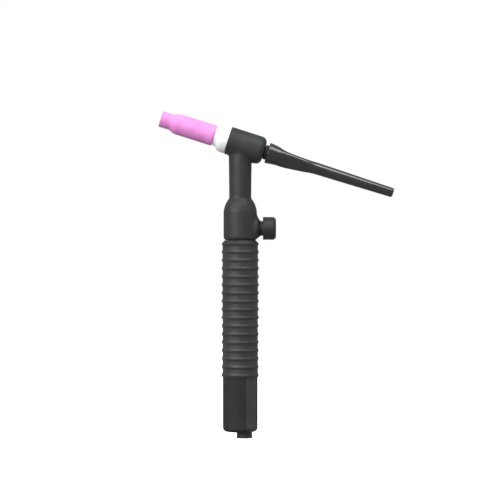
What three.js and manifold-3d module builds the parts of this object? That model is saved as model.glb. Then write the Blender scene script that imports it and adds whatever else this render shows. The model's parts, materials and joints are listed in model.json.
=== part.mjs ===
// TIG welding torch with a gas valve in the handle, a ceramic cup and a long back cap.
// Units are millimetres and +Z is up. The handle stands on the Z axis, the cup points to -X
// and the valve knob and the back cap point to +X. Heights are measured from the cable end of
// the handle, and the finished group is lowered so that the origin is in the middle of the grip.
import * as THREE from 'three';
import { mergeVertices } from 'three/addons/utils/BufferGeometryUtils.js';
import Module from 'manifold-3d';

const wasm = await Module();
wasm.setup();

// Clearances
const GAP = 0.3; // between parts that touch or screw together
const SLIP = 0.2; // between small parts that slide on each other

// Handle, by height
const BUSH_BOTTOM = 5.4;
const HANDLE_BOTTOM = 12;
const GRIP_BOTTOM = 51;
const GRIP_TOP = 165;
const HANDLE_RADIUS = 14.5;
const CORE_RADIUS = 12.2; // handle tube under the grip sleeve
const HANDLE_BORE = 10.3;
const BUSH_FILLET = 3.3;
const FLAT_ANGLE = 45; // degrees from the front towards +X
const FLAT_DISTANCE = 13;
const FLAT_BOTTOM = 8.5;
const FLAT_TOP = 52; // the flat runs up to the shoulder under the grip
const FLAT_CUT = 10; // depth of the slab that cuts the flat
const BUSH_SPIGOT = 12;

// Grip ribs
const RIB_COUNT = 17;
const RIB_PITCH = 6.84;
const TOP_RIB_HEIGHT = 162.2;
const RIB_RADIUS = 15.7;
const VALLEY_RADIUS = 14.8;
const RIB_FOOT = 1.7; // half width where a rib meets the sleeve
const SLEEVE_TOP_RADIUS = 13.1; // the sleeve narrows above its top rib to meet the collar

// Cable connection, off the handle's axis
const CABLE_OFFSET = 3.5;
const BOOT_RADIUS = 6.45;
const BOOT_LIP = 6.7;
const BOOT_LIP_HEIGHT = 1;
const BOOT_LIP_TAPER = 0.6;
const BOOT_SHOULDER = 8;
const BOOT_NECK_RADIUS = 5.4;
const BOOT_TOP = 30;
const ADAPTER_RADIUS = 4.6;
const ADAPTER_BOTTOM = 0.6;
const ADAPTER_TOP = 28;
const SOCKET_RADIUS = 2.8;
const SOCKET_DEPTH = 11;
const PIPE_RADIUS = 4;
const PIPE_BORE = 2.8;
const SLEEVING_RADIUS = 5;
const SLEEVING_INSET = 8;

// Neck and collar of the rubber overmould
const SPIGOT_BOTTOM = 140;
const SPIGOT_RADIUS = 10;
const COLLAR_RADIUS = 13.95;
const COLLAR_RIM = 2.9; // height over which the collar's lower rim rounds off
const COLLAR_TOP = 188.7;
const SHOULDER_BEND = 6.3; // height of the shoulder curve's middle control point above the collar
const SHOULDER_TOP = 199.6;
const SHOULDER_STEP = 0.4; // how far the shoulder still stands out where it meets the neck
const NECK_RADIUS = 9.2;
const NECK_TOP_RADIUS = 9.7;
const NECK_PIPE_RADIUS = 4.5;
const NECK_PIPE_BORE = 3;

// Valve
const VALVE_HEIGHT = 175;
const VALVE_BOTTOM = 160;
const VALVE_TOP = 190;
const VALVE_RADIUS = 8.5;
const BOSS_END = 19.6;
const BOSS_RADIUS = 6.15;
const BOSS_NECK = 2.4;
const BOSS_FLARE = 3.4;
const BOSS_ROOT = 10;
const BOSS_FOOT = 2.3; // how far above the seam its underside is cleared
const SEAT_FACE = 0.5;
const SEAT_RADIUS = 0.9;
const SEAT_BOTTOM = -2.5;
const CHAMBER_RADIUS = 2.4;
const CHAMBER_END = 4.5;
const OUTLET_RADIUS = 1.4;
const OUTLET_OFFSET = -1.5;
const GLAND_START = 5;
const GLAND_RADIUS = 4;
const PACKING_RADIUS = 2.8;
const PACKING_END = 15;
const STEM_RADIUS = 1.8;
const STEM_END = 26;
const STEM_GROOVE_RADIUS = 1.2;
const STEM_RING_HEIGHT = 9.5;
const STEM_RING_RADIUS = 1.95;
const STEM_RING_SECTION = 0.5;
const NEEDLE_START = 3.4;
const NEEDLE_TIP = -0.3;
const NEEDLE_TIP_RADIUS = 0.4;
const KNOB_START = 19;
const KNOB_END = 29.8;
const KNOB_RADIUS = 9.56;
const KNOB_FLUTES = 10;
const KNOB_FLUTE_DEPTH = 0.5;
const KNOB_RECESS = 0.9; // depth of the knob's recess over the end of the boss

// Head, measured from the crossing of the two axes along the head's own axis, front positive
const HEAD_HEIGHT = 245.3;
const HEAD_TILT = 17.7; // degrees that the cup points up
const HEAD_FRONT = 10.45;
const HEAD_REAR = -20.9;
const HEAD_RADIUS = 11.75;
const HEAD_CHAMFER = 0.5;
const HEAD_REAR_FILLET = 5;
const MOUTH_RADIUS = 6.5;
const BRASS_RADIUS = 8.5;
const BRASS_FRONT = 9.5;
const BRASS_REAR = -19.5;
const FRONT_BORE = 4.9;
const REAR_BORE = 5.2;
const BORE_STEP = -3.5;
const GAS_HOLE = 1.6;

// Cup and gasket
const CUP_FRONT = 69.6;
const CUP_REAR = 23.1;
const CUP_RADIUS = 8.7;
const CUP_MOUTH_RADIUS = 6.85;
const CUP_BORE = 4.95;
const CUP_SOCKET = 6.5;
const CUP_SOCKET_END = 50;
const GASKET_FRONT = 22.8;
const GASKET_REAR = 10.75;
const GASKET_RADIUS = 11.4;
const GASKET_LIP_RADIUS = 7.8;
const GASKET_LIP = 2.6;

// Electrode, collet and collet body
const ELECTRODE_RADIUS = 1.2;
const ELECTRODE_LENGTH = 175;
const ELECTRODE_TIP = 67.6;
const ELECTRODE_POINT = 5.5;
const COLLET_RADIUS = 2.3;
const COLLET_FRONT = 46;
const COLLET_REAR = -5.3;
const COLLET_SLOT = 0.5;
const COLLET_BODY_FRONT = 50;
const COLLET_BODY_REAR = 0.8;
const COLLET_BODY_NOSE = 4.6;
const CUP_THREAD_RADIUS = 6.2;
const CUP_THREAD_END = 36;
const JET_HOLE = 0.9; // radius of the collet body's gas holes

// Back cap
const CAP_FACE = -23.7;
const CAP_NOSE = -5.6;
const CAP_NOSE_RADIUS = 4.9;
const CAP_NECK_RADIUS = 6.2;
const CAP_GROOVE_RADIUS = 3.75;
const CAP_END = -134;
const CAP_BORE = 1.7;
const CAP_BORE_END = -130;
const CAP_LOBES = 3;
const O_RING_HEIGHT = -22.1;
const O_RING_RADIUS = 5.1;
const O_RING_SECTION = 1.1;

// Facet counts
const FINE = 32;
const MEDIUM = 24;
const SMALL = 16;

const FINISH = {
  alumina: { color: 0xe892d4, roughness: 0.45, metalness: 0 },
  gasket: { color: 0xf7faf7, roughness: 0.4, metalness: 0 },
  rubber: { color: 0x262827, roughness: 0.5, metalness: 0 },
  plastic: { color: 0x222322, roughness: 0.35, metalness: 0 },
  grip: { color: 0x2a2c2b, roughness: 0.6, metalness: 0 },
  ring: { color: 0x1a1a1a, roughness: 0.45, metalness: 0 },
  brass: { color: 0xb98d3f, roughness: 0.35, metalness: 1 },
  copper: { color: 0xb6683f, roughness: 0.35, metalness: 1 },
  tungsten: { color: 0x8d8e90, roughness: 0.4, metalness: 1 },
};

const headPlace = new THREE.Matrix4()
  .makeRotationY(THREE.MathUtils.degToRad(HEAD_TILT - 90))
  .setPosition(0, 0, HEAD_HEIGHT);
const valvePlace = new THREE.Matrix4().makeRotationY(Math.PI / 2).setPosition(0, 0, VALVE_HEIGHT);

// ---- Shape helpers ----

// Outlines are lists of [radius, height], down the outside of a piece and up its inside.
function turned(outline, sides = FINE) {
  const points = outline.map(([radius, height]) => new THREE.Vector2(radius, height)).reverse();
  return new THREE.LatheGeometry(points, sides).rotateX(Math.PI / 2);
}

// The outline of a hollow piece closes on itself.
function hollow(outline, sides = FINE) {
  return turned([...outline, outline[0]], sides);
}

function pipe(innerRadius, outerRadius, bottom, top, sides = MEDIUM) {
  return hollow([
    [innerRadius, bottom],
    [innerRadius, top],
    [outerRadius, top],
    [outerRadius, bottom],
  ], sides);
}

function rod(radius, bottom, top, sides = MEDIUM) {
  return turned([[0, top], [radius, top], [radius, bottom], [0, bottom]], sides);
}

function ring(radius, section, height, sides = MEDIUM) {
  return new THREE.TorusGeometry(radius, section, 8, sides).translate(0, 0, height);
}

// Rings of points whose radius swings between a crest and a valley, from the first ring to the last.
function lobed(rings, lobes, sides) {
  const positions = [];
  const indices = [];
  for (const { height, crest, valley } of rings) {
    for (let side = 0; side < sides; side += 1) {
      const angle = (2 * Math.PI * side) / sides;
      const swing = (1 - Math.cos(lobes * angle)) / 2;
      const radius = valley + (crest - valley) * swing;
      positions.push(radius * Math.cos(angle), radius * Math.sin(angle), height);
    }
  }
  for (let level = 0; level + 1 < rings.length; level += 1) {
    for (let side = 0; side < sides; side += 1) {
      const next = (side + 1) % sides;
      const low = level * sides;
      const high = low + sides;
      indices.push(low + side, low + next, high + next, low + side, high + next, high + side);
    }
  }
  const bottomCentre = positions.length / 3;
  positions.push(0, 0, rings[0].height, 0, 0, rings[rings.length - 1].height);
  const last = (rings.length - 1) * sides;
  for (let side = 0; side < sides; side += 1) {
    const next = (side + 1) % sides;
    indices.push(bottomCentre, next, side, bottomCentre + 1, last + side, last + next);
  }
  const geometry = new THREE.BufferGeometry();
  geometry.setAttribute('position', new THREE.Float32BufferAttribute(positions, 3));
  geometry.setIndex(indices);
  return geometry;
}

function toSolid(geometry) {
  const bare = geometry.clone();
  bare.deleteAttribute('normal');
  bare.deleteAttribute('uv');
  const merged = mergeVertices(bare, 1e-4);
  const vertProperties = new Float32Array(merged.attributes.position.array);
  const triVerts = new Uint32Array(merged.index.array);
  return new wasm.Manifold(new wasm.Mesh({ numProp: 3, vertProperties, triVerts }));
}

function toGeometry(solid) {
  const { vertProperties, triVerts } = solid.getMesh();
  const geometry = new THREE.BufferGeometry();
  geometry.setAttribute('position', new THREE.BufferAttribute(vertProperties, 3));
  geometry.setIndex(new THREE.BufferAttribute(triVerts, 1));
  return geometry;
}

function joined(...geometries) {
  return toGeometry(geometries.map(toSolid).reduce((all, next) => all.add(next)));
}

function cut(geometry, ...tools) {
  return toGeometry(tools.map(toSolid).reduce((rest, tool) => rest.subtract(tool), toSolid(geometry)));
}

function part(name, geometry, finish) {
  const mesh = new THREE.Mesh(geometry, new THREE.MeshStandardMaterial(FINISH[finish]));
  mesh.name = name;
  return mesh;
}

// Points on a quarter turn from the first corner's end to the second, for fillets.
function arc(centreRadius, centreHeight, radius, fromDegrees, toDegrees, steps) {
  return Array.from({ length: steps + 1 }, (_, step) => {
    const angle = THREE.MathUtils.degToRad(fromDegrees + ((toDegrees - fromDegrees) * step) / steps);
    return [centreRadius + radius * Math.cos(angle), centreHeight + radius * Math.sin(angle)];
  });
}

// ---- Handle ----

// The long flat on the front right of the lower handle.
function flatCutter() {
  const slab = new THREE.BoxGeometry(4 * HANDLE_RADIUS, FLAT_CUT, FLAT_TOP - FLAT_BOTTOM);
  slab.translate(0, -(FLAT_DISTANCE + FLAT_CUT / 2), (FLAT_TOP + FLAT_BOTTOM) / 2);
  return slab.rotateZ(THREE.MathUtils.degToRad(FLAT_ANGLE));
}

function gripSleeve() {
  const inner = CORE_RADIUS + GAP;
  const bottom = GRIP_BOTTOM + GAP;
  const outline = [[inner, bottom], [inner, GRIP_TOP], [SLEEVE_TOP_RADIUS, GRIP_TOP]];
  for (let rib = 0; rib < RIB_COUNT; rib += 1) {
    const height = TOP_RIB_HEIGHT - rib * RIB_PITCH;
    if (rib > 0) outline.push([VALLEY_RADIUS, height + RIB_FOOT]);
    outline.push([RIB_RADIUS, height], [VALLEY_RADIUS, height - RIB_FOOT]);
  }
  outline.push([VALLEY_RADIUS, bottom]);
  return hollow(outline, MEDIUM);
}

function handleTube() {
  const tube = hollow([
    [HANDLE_BORE, HANDLE_BOTTOM + GAP],
    [HANDLE_BORE, GRIP_TOP],
    [CORE_RADIUS, GRIP_TOP],
    [CORE_RADIUS, GRIP_BOTTOM],
    [HANDLE_RADIUS, GRIP_BOTTOM],
    [HANDLE_RADIUS, HANDLE_BOTTOM + GAP],
  ]);
  return cut(tube, flatCutter());
}

function endBush() {
  const spigotTop = HANDLE_BOTTOM + BUSH_SPIGOT;
  const body = turned([
    [0, spigotTop],
    [SPIGOT_RADIUS, spigotTop],
    [SPIGOT_RADIUS, HANDLE_BOTTOM],
    [HANDLE_RADIUS, HANDLE_BOTTOM],
    ...arc(HANDLE_RADIUS - BUSH_FILLET, BUSH_BOTTOM + BUSH_FILLET, BUSH_FILLET, 0, -90, 4),
    [0, BUSH_BOTTOM],
  ]);
  const bootHole = rod(BOOT_LIP + GAP, BUSH_BOTTOM - 1, BOOT_SHOULDER + GAP);
  const neckHole = rod(BOOT_NECK_RADIUS + GAP, BUSH_BOTTOM - 1, spigotTop + 1);
  bootHole.translate(CABLE_OFFSET, 0, 0);
  neckHole.translate(CABLE_OFFSET, 0, 0);
  return cut(body, flatCutter(), bootHole, neckHole);
}

// ---- Cable connection, drawn about its own axis ----

function cableBoot() {
  const bore = ADAPTER_RADIUS + GAP;
  return hollow([
    [bore, 0],
    [bore, BOOT_TOP],
    [BOOT_NECK_RADIUS, BOOT_TOP],
    [BOOT_NECK_RADIUS, BOOT_SHOULDER],
    [BOOT_RADIUS, BOOT_SHOULDER],
    [BOOT_RADIUS, BOOT_LIP_HEIGHT + BOOT_LIP_TAPER],
    [BOOT_LIP, BOOT_LIP_HEIGHT],
    [BOOT_LIP, 0],
  ], MEDIUM);
}

function powerAdapter() {
  const socketTop = ADAPTER_BOTTOM + SOCKET_DEPTH;
  return hollow([
    [SOCKET_RADIUS, ADAPTER_BOTTOM],
    [SOCKET_RADIUS, socketTop],
    [GAS_HOLE, socketTop],
    [GAS_HOLE, ADAPTER_TOP],
    [ADAPTER_RADIUS, ADAPTER_TOP],
    [ADAPTER_RADIUS, ADAPTER_BOTTOM],
  ], MEDIUM);
}

function rearPipe() {
  return pipe(PIPE_BORE, PIPE_RADIUS, ADAPTER_TOP + GAP, VALVE_BOTTOM - GAP);
}

function pipeSleeving() {
  const bottom = ADAPTER_TOP + SLEEVING_INSET;
  return pipe(PIPE_RADIUS + GAP, SLEEVING_RADIUS, bottom, VALVE_BOTTOM - SLEEVING_INSET);
}

// ---- Torch body ----

// The bottle shoulder from the neck down to the collar, as a quadratic curve.
function shoulder(steps) {
  const curve = new THREE.QuadraticBezierCurve(
    new THREE.Vector2(NECK_RADIUS + SHOULDER_STEP, SHOULDER_TOP),
    new THREE.Vector2(COLLAR_RADIUS - 0.7, COLLAR_TOP + SHOULDER_BEND),
    new THREE.Vector2(COLLAR_RADIUS, COLLAR_TOP),
  );
  return curve.getPoints(steps).map((point) => [point.x, point.y]);
}

function neckAndCollar() {
  const collarBottom = GRIP_TOP + GAP;
  return turned([
    [0, HEAD_HEIGHT],
    [NECK_TOP_RADIUS, HEAD_HEIGHT],
    [NECK_RADIUS, SHOULDER_TOP + 2],
    ...shoulder(6),
    [COLLAR_RADIUS, collarBottom + COLLAR_RIM],
    [(COLLAR_RADIUS + SLEEVE_TOP_RADIUS) / 2 + 0.1, collarBottom + COLLAR_RIM / 3],
    [SLEEVE_TOP_RADIUS, collarBottom],
    [SPIGOT_RADIUS, collarBottom],
    [SPIGOT_RADIUS, SPIGOT_BOTTOM],
    [0, SPIGOT_BOTTOM],
  ]);
}

function headBarrel() {
  return turned([
    [0, HEAD_FRONT],
    [HEAD_RADIUS - HEAD_CHAMFER, HEAD_FRONT],
    [HEAD_RADIUS, HEAD_FRONT - HEAD_CHAMFER],
    ...arc(HEAD_RADIUS - HEAD_REAR_FILLET, HEAD_REAR + HEAD_REAR_FILLET, HEAD_REAR_FILLET, 0, -90, 5),
    [0, HEAD_REAR],
  ]);
}

// Clears the underside of the valve's boss, so that the seam with the grip stays open all round.
function bossFootCutter() {
  const seam = GRIP_TOP + GAP;
  return hollow([
    [SLEEVE_TOP_RADIUS + 0.1, seam - 1],
    [SLEEVE_TOP_RADIUS + 0.1, seam + 0.2],
    [COLLAR_RADIUS + 0.4, seam + 1.3],
    [COLLAR_RADIUS + BOSS_FOOT, seam + BOSS_FOOT],
    [COLLAR_RADIUS + BOSS_RADIUS, seam + BOSS_FOOT],
    [COLLAR_RADIUS + BOSS_RADIUS, seam - 1],
  ], MEDIUM);
}

function valveBoss() {
  return turned([
    [0, BOSS_END],
    [BOSS_RADIUS, BOSS_END],
    [BOSS_RADIUS, BOSS_END - BOSS_NECK],
    [BOSS_RADIUS + BOSS_FLARE, BOSS_END - BOSS_NECK - BOSS_FLARE],
    [BOSS_RADIUS + BOSS_FLARE, BOSS_ROOT],
    [0, BOSS_ROOT],
  ], MEDIUM);
}

function torchShell() {
  const outside = joined(
    neckAndCollar(),
    headBarrel().applyMatrix4(headPlace),
    valveBoss().applyMatrix4(valvePlace),
  );
  const brassBore = rod(BRASS_RADIUS + GAP, BRASS_REAR - GAP, HEAD_FRONT + 1).applyMatrix4(headPlace);
  const rearMouth = rod(MOUTH_RADIUS, HEAD_REAR - 1, BRASS_REAR).applyMatrix4(headPlace);
  const neckBore = rod(NECK_PIPE_RADIUS + GAP, VALVE_TOP, HEAD_HEIGHT);
  const valveBore = rod(VALVE_RADIUS + GAP, SPIGOT_BOTTOM - 1, VALVE_TOP + GAP);
  const glandBore = rod(GLAND_RADIUS + GAP, GLAND_START, BOSS_END + 1).applyMatrix4(valvePlace);
  return cut(outside, bossFootCutter(), brassBore, rearMouth, neckBore, valveBore, glandBore);
}

function neckPipe() {
  const tube = pipe(NECK_PIPE_BORE, NECK_PIPE_RADIUS, VALVE_TOP + GAP, HEAD_HEIGHT);
  const seat = rod(BRASS_RADIUS + GAP, BRASS_REAR, BRASS_FRONT).applyMatrix4(headPlace);
  return cut(tube, seat);
}

function headCore() {
  const brass = hollow([
    [REAR_BORE, BRASS_REAR],
    [REAR_BORE, BORE_STEP],
    [FRONT_BORE, BORE_STEP],
    [FRONT_BORE, BRASS_FRONT],
    [BRASS_RADIUS, BRASS_FRONT],
    [BRASS_RADIUS, BRASS_REAR],
  ]);
  const gasHole = rod(GAS_HOLE, -BRASS_RADIUS - 2, 0, SMALL);
  gasHole.rotateY(THREE.MathUtils.degToRad(90 - HEAD_TILT));
  return cut(brass, gasHole);
}

// ---- Valve ----

// The needle seat opens on one side into the feed from the cable and on the other into the neck.
function valveBody() {
  const block = rod(VALVE_RADIUS, VALVE_BOTTOM, VALVE_TOP, FINE);
  const nutBore = rod(GLAND_RADIUS, CHAMBER_END, VALVE_RADIUS + 1).applyMatrix4(valvePlace);
  const chamber = rod(CHAMBER_RADIUS, SEAT_FACE, CHAMBER_END + 1, SMALL).applyMatrix4(valvePlace);
  const seat = rod(SEAT_RADIUS, SEAT_BOTTOM, SEAT_FACE + 1, SMALL).applyMatrix4(valvePlace);
  const feed = rod(GAS_HOLE, VALVE_BOTTOM - 1, VALVE_HEIGHT, SMALL).translate(CABLE_OFFSET, 0, 0);
  const outlet = rod(OUTLET_RADIUS, VALVE_HEIGHT, VALVE_TOP + 1, SMALL).translate(OUTLET_OFFSET, 0, 0);
  return cut(block, nutBore, chamber, seat, feed, outlet);
}

function glandNut() {
  const threadRadius = GLAND_RADIUS - GAP;
  const threadEnd = VALVE_RADIUS + 0.6;
  const stemBore = STEM_RADIUS + GAP;
  return hollow([
    [PACKING_RADIUS, GLAND_START],
    [PACKING_RADIUS, PACKING_END],
    [stemBore, PACKING_END],
    [stemBore, BOSS_END - SLIP],
    [GLAND_RADIUS, BOSS_END - SLIP],
    [GLAND_RADIUS, threadEnd],
    [threadRadius, threadEnd],
    [threadRadius, GLAND_START],
  ], SMALL);
}

function valveStem() {
  const grooveTop = STEM_RING_HEIGHT + STEM_RING_SECTION + SLIP;
  const grooveBottom = STEM_RING_HEIGHT - STEM_RING_SECTION - SLIP;
  return turned([
    [0, STEM_END],
    [STEM_RADIUS, STEM_END],
    [STEM_RADIUS, grooveTop],
    [STEM_GROOVE_RADIUS, grooveTop],
    [STEM_GROOVE_RADIUS, grooveBottom],
    [STEM_RADIUS, grooveBottom],
    [STEM_RADIUS, NEEDLE_START],
    [NEEDLE_TIP_RADIUS, NEEDLE_TIP],
    [0, NEEDLE_TIP],
  ], SMALL);
}

function valveKnob() {
  const rings = [
    { height: KNOB_START, inset: 0.4, flute: 0 },
    { height: KNOB_START + 0.4, inset: 0, flute: 0 },
    { height: KNOB_START + 1.8, inset: 0, flute: 0 },
    { height: KNOB_START + 3, inset: 0, flute: KNOB_FLUTE_DEPTH },
    { height: KNOB_END - 4, inset: 0, flute: KNOB_FLUTE_DEPTH },
    { height: KNOB_END - 2.8, inset: 0, flute: 0 },
    { height: KNOB_END - 2.1, inset: 0, flute: 0 },
    { height: KNOB_END, inset: 1.6, flute: 0 },
  ];
  const levels = rings.map(({ height, inset, flute }) => ({
    height,
    crest: KNOB_RADIUS - inset,
    valley: KNOB_RADIUS - inset - flute,
  }));
  const stemHole = rod(STEM_RADIUS + SLIP, KNOB_START - 1, STEM_END + GAP, SMALL);
  const recess = rod(BOSS_RADIUS + GAP, KNOB_START - 1, KNOB_START + KNOB_RECESS);
  return cut(lobed(levels, KNOB_FLUTES, 4 * KNOB_FLUTES), stemHole, recess);
}

// ---- Head parts, drawn about the head's axis ----

function cup() {
  return hollow([
    [CUP_SOCKET, CUP_REAR],
    [CUP_SOCKET, CUP_SOCKET_END],
    [CUP_BORE, CUP_SOCKET_END + 6],
    [CUP_BORE, CUP_FRONT],
    [CUP_MOUTH_RADIUS - 0.2, CUP_FRONT],
    [CUP_MOUTH_RADIUS, CUP_FRONT - 0.4],
    [CUP_MOUTH_RADIUS - 0.2, 61],
    [CUP_MOUTH_RADIUS + 0.1, 60],
    [CUP_RADIUS - 0.4, 56.8],
    [CUP_RADIUS, 55],
    [CUP_RADIUS, CUP_REAR],
  ]);
}

function cupGasket() {
  return hollow([
    [CUP_SOCKET, GASKET_REAR],
    [CUP_SOCKET, GASKET_FRONT],
    [GASKET_LIP_RADIUS, GASKET_FRONT],
    [GASKET_LIP_RADIUS, GASKET_FRONT - GASKET_LIP],
    [9.9, 18.4],
    [10.9, 16.8],
    [GASKET_RADIUS, 14.8],
    [GASKET_RADIUS, GASKET_REAR],
  ]);
}

function colletBody() {
  const bore = COLLET_RADIUS + 0.4;
  const noseBore = ELECTRODE_RADIUS + GAP;
  const gasHoleHeight = 41;
  const body = hollow([
    [bore, COLLET_BODY_REAR],
    [bore, 43.5],
    [noseBore, 48],
    [noseBore, COLLET_BODY_FRONT],
    [2.6, COLLET_BODY_FRONT],
    [COLLET_BODY_NOSE, COLLET_FRONT],
    [COLLET_BODY_NOSE, CUP_THREAD_END],
    [CUP_THREAD_RADIUS, CUP_THREAD_END],
    [CUP_THREAD_RADIUS, BRASS_FRONT + GAP],
    [FRONT_BORE - GAP, BRASS_FRONT + GAP],
    [FRONT_BORE - GAP, COLLET_BODY_REAR],
  ], MEDIUM);
  const across = rod(JET_HOLE, -COLLET_BODY_NOSE - 1, COLLET_BODY_NOSE + 1, 12);
  const acrossOnce = across.clone().rotateX(Math.PI / 2).translate(0, 0, gasHoleHeight);
  const acrossTwice = across.clone().rotateY(Math.PI / 2).translate(0, 0, gasHoleHeight);
  return cut(body, acrossOnce, acrossTwice);
}

function collet() {
  const bore = ELECTRODE_RADIUS + SLIP;
  const body = hollow([
    [bore, COLLET_REAR],
    [bore, COLLET_FRONT],
    [1.8, COLLET_FRONT],
    [COLLET_RADIUS, 43],
    [COLLET_RADIUS, COLLET_REAR],
  ], SMALL);
  const slotLength = 22; // half of it is inside the collet
  const across = 3 * COLLET_RADIUS;
  const slotOnce = new THREE.BoxGeometry(COLLET_SLOT, across, slotLength).translate(0, 0, COLLET_FRONT);
  const slotTwice = new THREE.BoxGeometry(across, COLLET_SLOT, slotLength).translate(0, 0, COLLET_FRONT);
  return cut(body, slotOnce, slotTwice);
}

function electrode() {
  return turned([
    [0, ELECTRODE_TIP],
    [0.15, ELECTRODE_TIP],
    [ELECTRODE_RADIUS, ELECTRODE_TIP - ELECTRODE_POINT],
    [ELECTRODE_RADIUS, ELECTRODE_TIP - ELECTRODE_LENGTH],
    [0, ELECTRODE_TIP - ELECTRODE_LENGTH],
  ], SMALL);
}

// Three rounded lobes grow out of the round collar and run out on the slim tail.
function backCap() {
  const grooveBottom = O_RING_HEIGHT - O_RING_SECTION - GAP;
  const noseTop = HEAD_REAR + 0.1;
  const round = (height, radius) => ({ height, crest: radius, valley: radius });
  const skin = [
    round(CAP_END, 2.9),
    round(CAP_END + 0.8, 3.95),
    round(-112, 4.3),
    round(-85, 4.75),
    round(-66.5, 5),
    { height: -62.8, crest: 5.25, valley: 4.9 },
    { height: -58.7, crest: 5.95, valley: 4.85 },
    { height: -50.2, crest: 6.85, valley: 4.95 },
    { height: -42, crest: 7.7, valley: 5.05 },
    { height: -37.3, crest: 7.9, valley: 6.2 },
    { height: -32.6, crest: 7.8, valley: 7.7 },
    round(-28.2, 8.35),
    round(CAP_FACE - 0.4, 8.8),
    round(CAP_FACE, 8.4),
    round(CAP_FACE, CAP_NECK_RADIUS),
    round(grooveBottom, CAP_NECK_RADIUS),
    round(grooveBottom, CAP_GROOVE_RADIUS),
    round(noseTop, CAP_GROOVE_RADIUS),
    round(noseTop, CAP_NOSE_RADIUS),
    round(CAP_NOSE, CAP_NOSE_RADIUS),
  ];
  return cut(lobed(skin, CAP_LOBES, MEDIUM), rod(CAP_BORE, CAP_BORE_END, CAP_NOSE + 1, SMALL));
}

// ---- Assembly ----

const handle = new THREE.Group();
handle.add(
  part('grip_sleeve', gripSleeve(), 'grip'),
  part('handle_tube', handleTube(), 'plastic'),
  part('end_bush', endBush(), 'plastic'),
  part('torch_shell', torchShell(), 'rubber'),
  part('neck_pipe', neckPipe(), 'copper'),
  part('valve_body', valveBody(), 'brass'),
);

const cable = new THREE.Group();
cable.position.x = CABLE_OFFSET;
cable.add(
  part('cable_boot', cableBoot(), 'rubber'),
  part('power_adapter', powerAdapter(), 'brass'),
  part('rear_pipe', rearPipe(), 'copper'),
  part('pipe_sleeving', pipeSleeving(), 'rubber'),
);

const valve = new THREE.Group();
valve.applyMatrix4(valvePlace);
valve.add(
  part('valve_gland_nut', glandNut(), 'brass'),
  part('valve_stem', valveStem(), 'brass'),
  part('valve_stem_o_ring', ring(STEM_RING_RADIUS, STEM_RING_SECTION, STEM_RING_HEIGHT, SMALL), 'ring'),
  part('valve_knob', valveKnob(), 'plastic'),
);

const head = new THREE.Group();
head.applyMatrix4(headPlace);
head.add(
  part('head_core', headCore(), 'brass'),
  part('cup_gasket', cupGasket(), 'gasket'),
  part('ceramic_cup', cup(), 'alumina'),
  part('collet_body', colletBody(), 'copper'),
  part('collet', collet(), 'copper'),
  part('tungsten_electrode', electrode(), 'tungsten'),
  part('back_cap', backCap(), 'plastic'),
  part('back_cap_o_ring', ring(O_RING_RADIUS, O_RING_SECTION, O_RING_HEIGHT), 'ring'),
);

const torch = new THREE.Group();
torch.position.z = -(GRIP_TOP + GRIP_BOTTOM) / 2;
torch.add(handle, cable, valve, head);

export default torch;
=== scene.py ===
"""The looks of a TIG torch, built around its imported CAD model.

Turned pieces take their outline from the CAD node that they stand for, so they have its exact
size, and get rounded corners, threads, dimples or flats. Lengths are in millimetres until a mesh,
a material or a light is made. Angles are in radians, except where a name says degrees.
"""
import json
import math

import bpy
import numpy as np
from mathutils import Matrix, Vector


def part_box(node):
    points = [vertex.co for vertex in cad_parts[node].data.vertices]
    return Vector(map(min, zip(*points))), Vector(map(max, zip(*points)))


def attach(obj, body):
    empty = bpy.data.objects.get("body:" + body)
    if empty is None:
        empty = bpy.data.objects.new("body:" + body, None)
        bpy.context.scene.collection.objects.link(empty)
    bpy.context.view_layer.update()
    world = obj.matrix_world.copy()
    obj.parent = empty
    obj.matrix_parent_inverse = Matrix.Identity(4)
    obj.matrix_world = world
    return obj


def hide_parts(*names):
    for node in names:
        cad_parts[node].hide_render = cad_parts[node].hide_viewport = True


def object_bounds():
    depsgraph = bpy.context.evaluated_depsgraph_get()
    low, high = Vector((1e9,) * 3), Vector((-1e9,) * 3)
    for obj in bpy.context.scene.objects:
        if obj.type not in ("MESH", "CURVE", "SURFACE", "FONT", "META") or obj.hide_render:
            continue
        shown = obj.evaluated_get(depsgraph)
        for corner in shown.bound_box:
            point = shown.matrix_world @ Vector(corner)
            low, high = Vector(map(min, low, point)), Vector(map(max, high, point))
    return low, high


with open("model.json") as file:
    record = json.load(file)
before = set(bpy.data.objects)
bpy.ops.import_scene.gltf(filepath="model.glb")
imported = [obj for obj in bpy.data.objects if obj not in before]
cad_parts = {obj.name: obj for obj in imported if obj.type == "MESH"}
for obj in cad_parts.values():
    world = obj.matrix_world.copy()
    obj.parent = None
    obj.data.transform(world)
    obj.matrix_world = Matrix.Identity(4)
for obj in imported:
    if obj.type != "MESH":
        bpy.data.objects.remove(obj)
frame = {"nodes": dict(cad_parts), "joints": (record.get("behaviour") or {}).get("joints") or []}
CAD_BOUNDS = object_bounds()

import openvdb
from mathutils import Matrix, Vector

MM = 0.001
FULL_TURN = 2 * math.pi
JOINTS = {joint["name"]: joint for joint in frame["joints"]}


# ---------------------------------------------------------------- places

def place_along(position, axis):
    """A frame whose Z runs along the axis, and whose Y stays the torch's Y."""
    z = Vector(axis).normalized()
    y = Vector((0, 1, 0))
    turn = Matrix((y.cross(z), y, z)).transposed().to_4x4()
    return Matrix.Translation(Vector(position)) @ turn


def place_of_joint(name):
    return place_along(JOINTS[name]["pos_m"], JOINTS[name]["axis"])


def low_z(node):
    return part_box(node)[0].z / MM


HANDLE = Matrix.Identity(4)
HEAD = place_of_joint("cup_turn")
HEAD_AXIS = HEAD.col[2].xyz
VALVE = place_of_joint("valve_turn")
CABLE = Matrix.Translation((sum(corner.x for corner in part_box("power_adapter")) / 2, 0, 0))


# ---------------------------------------------------------------- outlines

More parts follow.
